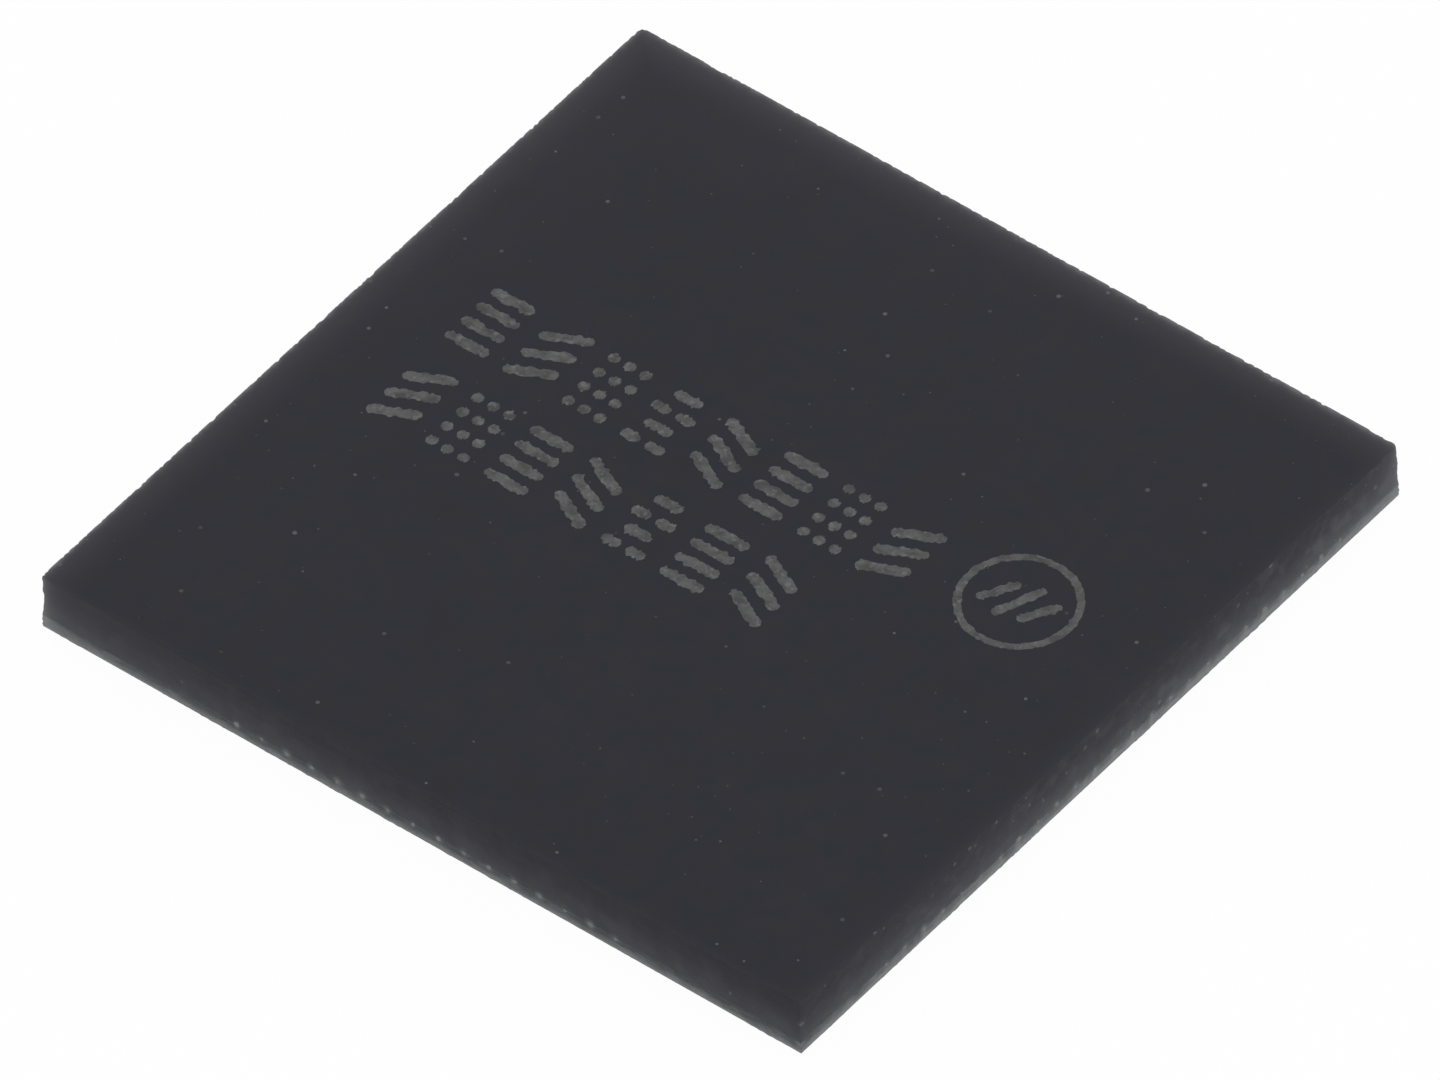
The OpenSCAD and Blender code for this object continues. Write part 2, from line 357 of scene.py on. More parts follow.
class Finish(Nodes):
    """Nodes of one material. Patterns read Object coordinates in millimetres."""

    def __init__(self, name):
        self.material = bpy.data.materials.new(name)
        self.material.use_nodes = True
        super().__init__(self.material.node_tree)
        place = self.add("ShaderNodeTexCoord").outputs["Object"]
        self.place = self.add("ShaderNodeMapping", Vector=place, Scale=(1 / MM,) * 3).outputs[0]

    def stretched(self, scale):
        """The place in millimetres, times a scale along each axis."""
        return self.add("ShaderNodeMapping", Vector=self.place, Scale=scale).outputs[0]

    def axes(self):
        """X, Y and Z of the place in millimetres."""
        return self.add("ShaderNodeSeparateXYZ", Vector=self.place).outputs

    def noise(self, scale, detail=2.0, roughness=0.5, stretch=None):
        """Soft noise about one half, with scale waves in a millimetre, drawn out where stretched."""
        vector = self.stretched(stretch) if stretch else self.place
        node = self.add("ShaderNodeTexNoise", Vector=vector, Scale=scale, Detail=detail, Roughness=roughness)
        return node.outputs["Fac"]

    def times(self, first, *others):
        """Product of all the values."""
        for other in others:
            first = self.math("MULTIPLY", first, other)
        return first

    def spread(self, value, low, high, to_low=0.0, to_high=1.0):
        """Value from low to high, spread over the range from to_low to to_high and clamped."""
        limits = {"From_Min": low, "From_Max": high, "To_Min": to_low, "To_Max": to_high}
        return self.add("ShaderNodeMapRange", Value=value, **limits).outputs[0]

    def ranged(self, pattern, to_low, to_high):
        """The middle range of a noise, spread from to_low to to_high."""
        return self.spread(pattern, 0.3, 0.7, to_low, to_high)

    def blend(self, factor, first, second):
        """Colour that goes from first to second with the factor."""
        node = self.add("ShaderNodeMix", {"data_type": "RGBA"})
        self.feed(node.inputs[0], factor)
        for socket, tone in ((node.inputs[6], first), (node.inputs[7], second)):
            self.feed(socket, tone if is_socket(tone) else (*tone, 1.0))
        return node.outputs[2]

    def lay(self, base, tone, weight, share=None):
        """Base colour under a tone laid as thickly as the weight says, or as a share of it."""
        return self.blend(weight if share is None else self.times(weight, share), base, tone)

    def cloudy(self, tone, dark, light, scale, detail=3.0, roughness=0.6):
        """A tone that wanders between a darker and a lighter shade of itself in soft clouds."""
        clouds = self.noise(scale, detail=detail, roughness=roughness)
        return self.blend(self.ranged(clouds, 0.0, 1.0), shade(tone, dark), shade(tone, light))

    def attribute(self, name):
        """A named value of the mesh's points."""
        return self.add("ShaderNodeAttribute", {"attribute_name": name}).outputs["Fac"]

    def inwards(self, axis, side):
        """Distance inwards from the body's side in + or - of an axis."""
        return self.math("SUBTRACT", HALF, self.times(self.axes()[axis], side))

    def fade(self, distance, reach):
        """Weight that falls off as exp(-distance / reach)."""
        return self.math("POWER", math.exp(-1.0 / reach), distance)

    def away(self, place, reach, peak=None):
        """Weight that falls off from its peak at an upright line in x and y, as fade does."""
        node = self.add("ShaderNodeVectorMath", {"operation": "DISTANCE"})
        self.feed(node.inputs[0], self.stretched((1.0, 1.0, 0.0)))
        self.feed(node.inputs[1], (*place, 0.0))
        weight = self.fade(node.outputs["Value"], reach)
        return weight if peak is None else self.times(weight, peak)

    def specks(self, scale, radius, share, flat=True):
        """Round specks of mixed size and tone, in the given share of a Voronoi grid's cells."""
        settings = {"voronoi_dimensions": "2D" if flat else "3D"}
        cells = self.add("ShaderNodeTexVoronoi", settings, Vector=self.place, Scale=scale)
        pick = self.add("ShaderNodeSeparateColor", Color=cells.outputs["Color"]).outputs
        chosen = self.math("LESS_THAN", pick["Red"], share)
        size = self.spread(pick["Green"], 0.0, 1.0, 0.45 * radius * scale, radius * scale)
        inside = self.spread(self.math("DIVIDE", cells.outputs["Distance"], size), 0.75, 1.1, 1.0, 0.0)
        return self.times(inside, self.spread(pick["Blue"], 0.0, 1.0, 0.35, 1.0), chosen)

    def bump(self, height, distance, normal=None):
        """Bump of the given height in millimetres, on top of another where one is given."""
        node = self.add("ShaderNodeBump", Height=height, Distance=distance * MM)
        if normal is not None:
            self.feed(node.inputs["Normal"], normal)
        return node.outputs[0]

    def end(self, surface):
        """Ends the material with its surface."""
        self.add("ShaderNodeOutputMaterial", Surface=surface)
        return self.material

    def coat(self, **inputs):
        """Ends the material with the usual surface shader."""
        return self.end(self.add("ShaderNodeBsdfPrincipled", **inputs).outputs[0])


def shade(value, factor):
    """A colour made lighter or darker."""
    return tuple(min(1.0, c * factor) for c in value)


# Materials


def chipped(nodes, base, colours):
    """Base colour, paler where the edge is chipped: partly fresher compound, partly painted light over the
    chips' own shade.
    """
    weight = nodes.spread(nodes.attribute(CHIPPED), 0.15, 0.5, 0.0, 0.16)
    return nodes.lay(base, shade(colours.filler, 0.7), weight)


def moulded_face(colours):
    """Matt compound as the mould leaves it: cloudy charcoal, eroded grain, a few specks, far edges paled by
    wear and painted light.
    """
    nodes = Finish("moulded_compound")
    axes = nodes.axes()
    grain = nodes.noise(26.0, roughness=0.6)
    cool = [c * change for c, change in zip(colours.mould, (0.94, 0.97, 1.08))]
    base = nodes.cloudy(colours.mould, 0.93, 1.07, scale=0.9, detail=4.0)
    base = nodes.lay(base, cool, nodes.spread(nodes.noise(2.6, detail=1.0), 0.4, 0.6))
    base = nodes.lay(base, shade(colours.mould, 1.6), nodes.spread(grain, 0.25, 0.75, 0.0, 0.3))

    # The edges at -X and +Y, against the bright surround, are paler, hard at the rim and softly a little way
    # in: worn nicks along the rim, and painted light from the surround
    wider_at_back = 0.03
    soft_band = (HALF - 0.65, HALF - 0.05)
    back = nodes.math("ADD", axes["Y"], wider_at_back)
    toward_far_edges = nodes.math("MAXIMUM", nodes.times(axes["X"], -1.0), back)
    soft = nodes.math("POWER", nodes.spread(toward_far_edges, *soft_band), 2.0)
    base = nodes.lay(base, shade(colours.filler, 0.6), soft, share=0.3)
    left_rim = nodes.fade(nodes.inwards("X", -1), reach=0.028)
    back_rim = nodes.fade(nodes.inwards("Y", 1), reach=0.036)
    uneven = nodes.spread(nodes.noise(7.0, detail=3.0), 0.34, 0.66, 1.0, 2.2)
    hard = nodes.times(nodes.math("MAXIMUM", left_rim, back_rim), uneven)
    base = nodes.lay(base, colours.filler, nodes.math("MINIMUM", hard, 1.0))

    # Inside both of them the face is a little paler, more so the nearer the corner that they share, whose
    # tip gets painted light from the surround
    beside = nodes.fade(nodes.math("SUBTRACT", HALF, toward_far_edges), reach=1.4)
    thin = nodes.times(beside, nodes.away(FAR_CORNER, reach=8.0, peak=0.135))
    thin = nodes.math("ADD", thin, nodes.away(FAR_CORNER, reach=0.1, peak=0.45))
    base = nodes.lay(base, shade(colours.filler, 0.6), thin)

    # A faint paler trace inside the two near edges
    right = nodes.times(nodes.fade(nodes.inwards("X", 1), reach=0.12), 0.058)
    front = nodes.times(nodes.fade(nodes.inwards("Y", -1), reach=0.05), 0.045)
    base = nodes.lay(base, colours.filler, nodes.math("ADD", right, front))
    base = chipped(nodes, base, colours)

    # Specks are more frequent towards the edges
    outwards = nodes.math("MAXIMUM", nodes.math("ABSOLUTE", axes["X"]), nodes.math("ABSOLUTE", axes["Y"]))
    specks = nodes.specks(2.0, radius=0.034, share=nodes.spread(outwards, HALF / 2, HALF, 0.06, 0.2))
    dust = nodes.specks(3.7, radius=0.015, share=0.12)
    light = nodes.math("MAXIMUM", nodes.times(specks, 0.6), nodes.times(dust, 0.45))
    base = nodes.lay(base, colours.filler, light)
    relief = nodes.bump(nodes.noise(38.0, detail=3.0, roughness=0.65), 0.0035)
    relief = nodes.bump(specks, 0.006, normal=relief)
    rough = nodes.ranged(grain, 0.54, 0.7)
    return nodes.coat(Base_Color=base, Roughness=rough, Specular_IOR_Level=0.14, Normal=relief)


def on_right(nodes):
    """One on the side at +X and nought on the others."""
    return nodes.spread(nodes.axes()["X"], *SIDE_SPAN)


def dust_and_light_on_right(nodes):
    """Weight that only the side at +X carries, more of it the nearer it is to +Y: painted light where the
    panel falls, with some dust.
    """
    return nodes.times(on_right(nodes), nodes.spread(nodes.axes()["Y"], -HALF, HALF))


def paled(nodes, low_weight, high_weight):
    """Weight of the paling on a sawn side, partly dust and partly painted light, uneven along it and alike
    on compound and laminate.
    """
    pattern = nodes.noise(2.6, detail=3.0, roughness=0.6)
    uneven = nodes.spread(pattern, 0.36, 0.64, low_weight, high_weight)
    return nodes.times(uneven, nodes.spread(dust_and_light_on_right(nodes), 0.0, 1.0, 1.0, 1.6))


def outline_corner_light(nodes):
    """Weight of painted light on the two upright corners that stand against the bright surround.

    Each has a soft band and a narrow line in it. The left one is paler more towards the foot.
    """
    upper_level, lower_level = 0.95, 0.4
    downwards = nodes.spread(nodes.axes()["Z"], upper_level, lower_level, 0.45, 0.95)
    left = nodes.times(nodes.away(LEFT_CORNER, reach=0.23), downwards)
    left = nodes.math("ADD", left, nodes.away(LEFT_CORNER, reach=0.05, peak=0.6))
    right = nodes.away(RIGHT_CORNER, reach=0.5, peak=0.38)
    right = nodes.math("ADD", right, nodes.away(RIGHT_CORNER, reach=0.07, peak=0.55))
    return nodes.math("MINIMUM", nodes.math("MAXIMUM", left, right), 1.0)


def tail_rows(sizes):
    """Number, pitch and shift of the tail ends on the sides along the marking, and on the others."""
    return (
        (TAILS_WITH_MARKING, millimetres(sizes.tail_pitch_with), millimetres(sizes.tail_shift_with)),
        (TAILS_ACROSS_MARKING, millimetres(sizes.tail_pitch_across), millimetres(sizes.tail_shift_across)),
    )


def tail_smear(nodes):
    """Weight of the metal and dust dragged round each tail end, uneven from tail to tail.

    The place along a side is measured from its last tail and folded to half a pitch, which gives the
    distance to the nearest tail. Sides that face each other are one side turned half round.
    """
    smear_reach, beyond_row, foot_band, cap_band = 0.06, 0.14, (0.38, 0.45), (0.56, 0.48)
    axes = nodes.axes()
    weights = []
    rows = tail_rows(bpy.context.scene.package_sizes)
    for (count, pitch, shift), along, out, turn in zip(rows, "XY", "YX", (-1.0, 1.0)):
        last = (math.ceil(count / 2) - 0.5) * pitch + shift
        first = last - (count - 1) * pitch
        place = nodes.times(axes[along], nodes.math("SIGN", axes[out]), turn)
        folded = nodes.math("PINGPONG", nodes.math("SUBTRACT", place, last), pitch / 2)
        offset = nodes.math("DIVIDE", folded, smear_reach)
        near = nodes.fade(nodes.times(offset, offset), reach=1.0)
        started = nodes.spread(place, first - beyond_row, first)
        ended = nodes.spread(place, last + beyond_row, last)
        on_side = nodes.spread(nodes.math("ABSOLUTE", axes[out]), *SIDE_SPAN)
        weights.append(nodes.times(near, started, ended, on_side))
    above_foot = nodes.spread(axes["Z"], *foot_band)
    above_foot = nodes.math("MAXIMUM", above_foot, nodes.times(on_right(nodes), 0.9))
    below_cap = nodes.spread(axes["Z"], *cap_band)
    uneven = nodes.spread(nodes.noise(3.3), 0.4, 0.62, 0.2, 1.0)
    return nodes.times(nodes.math("ADD", *weights), above_foot, below_cap, uneven)


def sawn_face(colours):
    """The same compound cut by the saw: faint level streaks, cut filler, and paler towards the foot, partly
    by dust and partly by painted light from the floor below.
    """
    nodes = Finish("sawn_compound")
    foot = nodes.spread(nodes.axes()["Z"], CAP_TOP, UPPER_MASK_TOP)
    streaks = nodes.noise(1.0, detail=3.0, roughness=0.7, stretch=(1.6, 1.6, 36.0))
    clouds = nodes.noise(1.3, detail=3.0, roughness=0.6)
    grain = nodes.noise(34.0, roughness=0.7)
    # Paler towards the foot, partly dust and partly painted light from the floor below
    dust = nodes.times(nodes.math("POWER", foot, 2.0), paled(nodes, 0.42, 0.58))
    base = nodes.lay(colours.sawn, colours.sawn_foot_dust_and_light, dust)
    base = nodes.lay(base, shade(colours.sawn_foot_dust_and_light, 0.62), nodes.spread(clouds, 0.35, 0.65, 0.03, 0.13))
    base = nodes.lay(base, shade(colours.sawn_foot_dust_and_light, 0.75), nodes.spread(streaks, 0.35, 0.75, 0.02, 0.09))
    # Painted shade high up on the side at +X, towards its near end
    painted_shade_near_end = nodes.math("SUBTRACT", on_right(nodes), dust_and_light_on_right(nodes))
    painted_shade_near_end = nodes.times(painted_shade_near_end, nodes.spread(foot, 0.0, 0.6, 0.16, 0.0))
    base = nodes.lay(base, shade(colours.sawn, 0.5), painted_shade_near_end)
    base = nodes.lay(base, colours.filler, nodes.away(LEFT_CORNER, reach=2.0, peak=0.07))

    # Blots towards the foot, with more painted light in them on the side at +X, and lumps and crumbs there
    # too
    blots = nodes.times(nodes.spread(nodes.noise(2.3), 0.54, 0.66), nodes.spread(foot, 0.0, 0.6, 0.15, 0.5))
    blots = nodes.times(blots, nodes.spread(dust_and_light_on_right(nodes), 0.0, 1.0, 0.2, 1.0))
    base = nodes.lay(base, colours.sawn_foot_dust_and_light, blots)
    lumps = nodes.times(nodes.spread(nodes.noise(4.5), 0.5, 0.66, 0.0, 0.1), on_right(nodes))
    base = nodes.lay(base, colours.sawn_foot_dust_and_light, lumps)
    crumbs = nodes.times(nodes.specks(3.2, radius=0.042, share=0.85, flat=False), on_right(nodes))
    base = nodes.lay(base, colours.filler, crumbs, share=0.5)
    # The very foot of the side at +X is a little lighter: painted light from the floor and the panel
    lowest = nodes.times(on_right(nodes), nodes.math("POWER", foot, 6.0))
    base = nodes.lay(base, shade(colours.glass, 1.4), lowest, share=0.03)
    base = nodes.lay(base, shade(colours.glass, 1.3), tail_smear(nodes), share=0.5)

    # The upright corners get painted light, with a fine line on each edge
    base = nodes.lay(base, shade(colours.filler, 0.6), outline_corner_light(nodes))
    left = nodes.away(LEFT_CORNER, reach=0.06, peak=0.52)
    right = nodes.away(RIGHT_CORNER, reach=0.06, peak=0.4)
    base = nodes.lay(base, shade(colours.filler, 1.2), nodes.math("ADD", left, right))
    # A painted highlight on the near corner covers the shade line that its shading leaves
    base = nodes.lay(base, shade(colours.filler, 0.6), nodes.away(NEAR_CORNER, reach=0.05, peak=0.12))
    base = chipped(nodes, base, colours)
    fillers = nodes.specks(9.0, radius=0.026, share=0.025, flat=False)
    base = nodes.lay(base, colours.filler, fillers, share=0.4)
    relief = nodes.bump(grain, 0.003, normal=nodes.bump(streaks, 0.002))
    rough = nodes.ranged(grain, 0.56, 0.72)
    return nodes.coat(Base_Color=base, Roughness=rough, Specular_IOR_Level=0.09, Normal=relief)


def tail_smear_and_corner_light(nodes, base, colours):
    """Base colour of the substrate's edge, with the smear of the tails and the painted light of the corners.
    """
    base = nodes.lay(base, shade(colours.glass, 1.4), tail_smear(nodes), share=0.55)
    return nodes.lay(base, shade(colours.glass, 1.2), outline_corner_light(nodes))


def laminate(colours, name="laminate_core"):
    """Dark resin with glass yarn: streaks where yarn runs along the cut, lens shapes where it ends.

    The foot of the edge is paler, partly by its glass yarn and partly by painted light from the floor below.
    """
    nodes = Finish(name)
    foot = nodes.math("POWER", nodes.spread(nodes.axes()["Z"], UPPER_MASK_FOOT, LOWER_MASK_TOP), 1.5)
    streaks = nodes.noise(1.0, detail=3.0, roughness=0.65, stretch=(2.2, 2.2, 30.0))
    cut_ends = nodes.add("ShaderNodeTexVoronoi", Vector=nodes.stretched((2.6, 2.6, 9.0)), Scale=1.0)
    ends = nodes.spread(cut_ends.outputs["Distance"], 0.45, 0.3)
    yarn = nodes.math("MAXIMUM", nodes.spread(streaks, 0.48, 0.68), ends)
    grain = nodes.noise(45.0, roughness=0.7)
    # Paler towards the foot, partly glass yarn and partly painted light from the floor below
    base = nodes.lay(colours.laminate, colours.glass, nodes.times(foot, paled(nodes, 0.65, 1.35)))
    # The side at +X is lighter, in patches: painted light where the panel falls, with some dust
    base = nodes.lay(base, colours.glass, dust_and_light_on_right(nodes), share=0.14)
    patches = nodes.spread(nodes.noise(3.6), 0.36, 0.64, 0.08, 0.35)
    base = nodes.lay(base, shade(colours.glass, 1.4), nodes.times(on_right(nodes), patches))
    base = nodes.lay(base, shade(colours.glass, 1.4), dust_and_light_on_right(nodes), share=0.05)
    base = nodes.lay(base, shade(colours.glass, 1.2), nodes.away(LEFT_CORNER, reach=1.3, peak=0.27))
    base = tail_smear_and_corner_light(nodes, base, colours)
    base = nodes.lay(base, shade(colours.glass, 1.1), yarn, share=0.2)
    base = nodes.lay(base, shade(colours.laminate, 0.7), nodes.spread(grain, 0.35, 0.7, 0.0, 0.25))
    relief = nodes.bump(grain, 0.003, normal=nodes.bump(streaks, 0.004))
    rough = nodes.spread(yarn, 0.0, 1.0, 0.62, 0.5)
    return nodes.coat(Base_Color=base, Roughness=rough, Specular_IOR_Level=0.15, Normal=relief)


def mask_edge(colours, name, low, high):
    """Sawn edge of a solder mask: matt, smeared along the cut, between two tones."""
    nodes = Finish(name)
    smear = nodes.noise(1.0, detail=3.0, roughness=0.65, stretch=(6.0, 6.0, 14.0))
    grain = nodes.noise(40.0, roughness=0.7)
    base = nodes.lay(low, high, nodes.spread(smear, 0.35, 0.65))
    # The side at +X is lighter: painted light where the panel falls, with some dust
    base = nodes.lay(base, colours.glass, dust_and_light_on_right(nodes), share=0.22)
    base = nodes.lay(base, shade(colours.glass, 1.4), on_right(nodes), share=0.04)
    base = tail_smear_and_corner_light(nodes, base, colours)
    base = nodes.lay(base, shade(low, 0.7), nodes.spread(grain, 0.4, 0.7, 0.0, 0.4))
    rough, relief = nodes.ranged(grain, 0.5, 0.7), nodes.bump(grain, 0.003)
    return nodes.coat(Base_Color=base, Roughness=rough, Specular_IOR_Level=0.2, Normal=relief)


def solder_mask(colours, name, tone=1.0):
    """Cured ink: satin green with a slight orange peel and fine pigment."""
    nodes = Finish(name)
    peel = nodes.noise(7.0)
    pigment = nodes.noise(60.0, detail=1.0)
    base = nodes.cloudy(colours.mask, 0.82 * tone, 1.15 * tone, scale=0.7)
    base = nodes.lay(base, shade(colours.mask, 1.7 * tone), nodes.spread(pigment, 0.45, 0.75, 0.0, 0.3))
    relief = nodes.bump(pigment, 0.0012, normal=nodes.bump(peel, 0.004))
    rough = nodes.ranged(peel, 0.26, 0.4)
    return nodes.coat(Base_Color=base, Roughness=rough, Specular_IOR_Level=0.5, Normal=relief)


def metal(name, tone, rough_low, rough_high, grain_scale, dark=0.75):
    """Bare metal with a fine grain that varies its tone and gloss."""
    nodes = Finish(name)
    grain = nodes.noise(grain_scale, detail=3.0, roughness=0.6)
    base = nodes.cloudy(tone, dark, 1.0, scale=2.0)
    rough = nodes.ranged(grain, rough_low, rough_high)
    return nodes.coat(Base_Color=base, Metallic=1.0, Roughness=rough, Normal=nodes.bump(grain, 0.0015))


def reflowed_solder(colours):
    """Ball solder after reflow: satin grey with a network of grain boundaries."""
    nodes = Finish("reflowed_solder")
    settings = {"feature": "DISTANCE_TO_EDGE"}
    cells = nodes.add("ShaderNodeTexVoronoi", settings, Vector=nodes.place, Scale=17.0)
    to_edge = cells.outputs["Distance"]
    grain = nodes.noise(40.0, detail=3.0, roughness=0.65)
    base = nodes.cloudy(colours.solder, 0.8, 1.1, scale=5.0, detail=2.0, roughness=0.5)
    seams = nodes.spread(to_edge, 0.0, 0.12, 1.0, 0.0)
    base = nodes.lay(base, shade(colours.solder, 0.45), seams, share=0.45)
    rough = nodes.ranged(grain, 0.26, 0.46)
    relief = nodes.bump(grain, 0.0015, normal=nodes.bump(nodes.spread(to_edge, 0.0, 0.15), 0.002))
    return nodes.coat(Base_Color=base, Metallic=1.0, Roughness=rough, Normal=relief)


def ground_silicon(colours):
    """Die with its circuit blocks, as faint patches of even tone between lines of fine wiring."""
    nodes = Finish("silicon")
    tones = {"Color1": 0.7, "Color2": 1.3, "Mortar": 2.2}
    tones = {key: (*shade(colours.silicon, factor), 1.0) for key, factor in tones.items()}
    sizes = {"Scale": 1.0, "Mortar_Size": 0.012, "Brick_Width": 0.62, "Row_Height": 0.41, "Bias": 0.0}
    settings = {"offset": 0.5, "squash": 0.7}
    blocks = nodes.add("ShaderNodeTexBrick", settings, Vector=nodes.place, **tones, **sizes)
    wiring = nodes.noise(18.0, stretch=(1.0, 6.0, 1.0))
    lines = nodes.spread(wiring, 0.4, 0.7, 0.0, 0.4)
    base = nodes.lay(blocks.outputs["Color"], shade(colours.silicon, 1.8), lines)
    rough, relief = nodes.ranged(wiring, 0.14, 0.28), nodes.bump(wiring, 0.0008)
    return nodes.coat(Base_Color=base, Roughness=rough, Specular_IOR_Level=0.8, Normal=relief)


def die_film(colours):
    """Filled adhesive film: matt grey with metal flakes."""
    nodes = Finish("die_film")
    flakes = nodes.specks(30.0, radius=0.014, share=0.5, flat=False)
    base = nodes.cloudy(colours.film, 0.8, 1.0, scale=3.0, roughness=0.5)
    base = nodes.lay(base, shade(colours.film, 1.6), flakes)
    rough = nodes.spread(flakes, 0.0, 1.0, 0.65, 0.3)
    return nodes.coat(Base_Color=base, Roughness=rough, Normal=nodes.bump(flakes, 0.001))


def marked_face(colours):
    """Compound that the marking laser has lightened: softly mottled, rough and a little broken."""
    nodes = Finish("marked_compound")
    mottle = nodes.noise(5.0, detail=3.0, roughness=0.6)
    spots = nodes.noise(22.0, roughness=0.6)
    base = nodes.lay(shade(colours.mark, 0.62), shade(colours.mark, 1.1), nodes.spread(mottle, 0.36, 0.6))
    base = nodes.lay(base, shade(colours.mark, 0.45), nodes.spread(spots, 0.5, 0.75, 0.0, 0.45))
    crumbs = nodes.spread(nodes.noise(13.0), 0.56, 0.7, 0.0, 0.6)
    base = nodes.lay(base, shade(colours.mark, 1.7), crumbs)
    rough, relief = nodes.ranged(mottle, 0.7, 0.85), nodes.bump(spots, 0.003)
    return nodes.coat(Base_Color=base, Roughness=rough, Specular_IOR_Level=0.2, Normal=relief)


# The package's own layout, by the formulas of its drawing


def ball_places(sizes):
    """Row of each ball and its x and y: every place less than three from the grid's rim."""
    pitch = millimetres(sizes.ball_pitch)
    row, column = np.divmod(np.arange(GRID_COUNT**2), GRID_COUNT)
    depth = np.minimum(np.minimum(row, column), GRID_COUNT - 1 - np.maximum(row, column))
    keep = depth < RING_COUNT
    half = (GRID_COUNT - 1) / 2 * pitch
    return row[keep], np.stack([column[keep] * pitch - half, half - row[keep] * pitch], 1)


def side_nets(sizes):
    """Ball and via of each net of one side, before the side is turned.

    A ring gives the side a row of balls that stops one short of the next corner. Nets run on rays from
    the centre, which are dealt out in the order of ball x over via y. A ray's x is its slope times y.
    """
    pitch = millimetres(sizes.ball_pitch)
    half = (GRID_COUNT - 1) / 2 * pitch
    rows = [np.arange(GRID_COUNT - 1 - 2 * ring) + ring for ring in range(RING_COUNT)]
    ring = np.concatenate([np.full(len(r), k) for k, r in enumerate(rows)])
    ball = np.stack([np.concatenate(rows) * pitch - half, half - ring * pitch], 1)
    via_y = GRID_COUNT / 2 * pitch - ring * pitch
    order = np.argsort(np.argsort(ball[:, 0] / via_y - ball[:, 1] * 1e-6))
    outer_slope = (GRID_COUNT / 2 - 1) * pitch / (GRID_COUNT / 2 * pitch)
    slope = (order - (len(order) - 1) / 2) * 2 * outer_slope / (len(order) - 1)
    return ball, np.stack([slope * via_y, via_y], 1)


def all_sides(points):
    """Points of one side turned to all four, a quarter turn clockwise each time."""
    x, y = points[..., 0], points[..., 1]
    return np.concatenate([np.stack(p, -1) for p in ((x, y), (y, -x), (-x, -y), (-y, x))])


def tail_places(sizes):
    """X, y and side of each tail end, side after side."""
    places = []
    for side in range(len(SIDES)):
        count, pitch, shift = tail_rows(sizes)[side % 2]
        along = (np.arange(count) - math.ceil(count / 2) + 0.5) * pitch - shift
        at = all_sides(np.stack([along, np.full(count, HALF)], 1)[None])[side]
        places.append(np.column_stack([at, np.full(count, side)]))
    return np.concatenate(places)


# Pieces


def cap_profile(radius):
    """Inset and level of the cap's profile: up its side, a quarter circle, and a little way in on top."""
    turn = np.linspace(0, math.pi / 2, 5)
    wall = np.linspace(UPPER_MASK_TOP, CAP_TOP - radius, WALL_LEVELS, endpoint=False)
    inset = np.concatenate([np.zeros(WALL_LEVELS), radius * (1 - np.cos(turn)), [0.03, 0.045]])
    return inset, np.concatenate([wall, CAP_TOP - radius * (1 - np.sin(turn)), [CAP_TOP, CAP_TOP]])


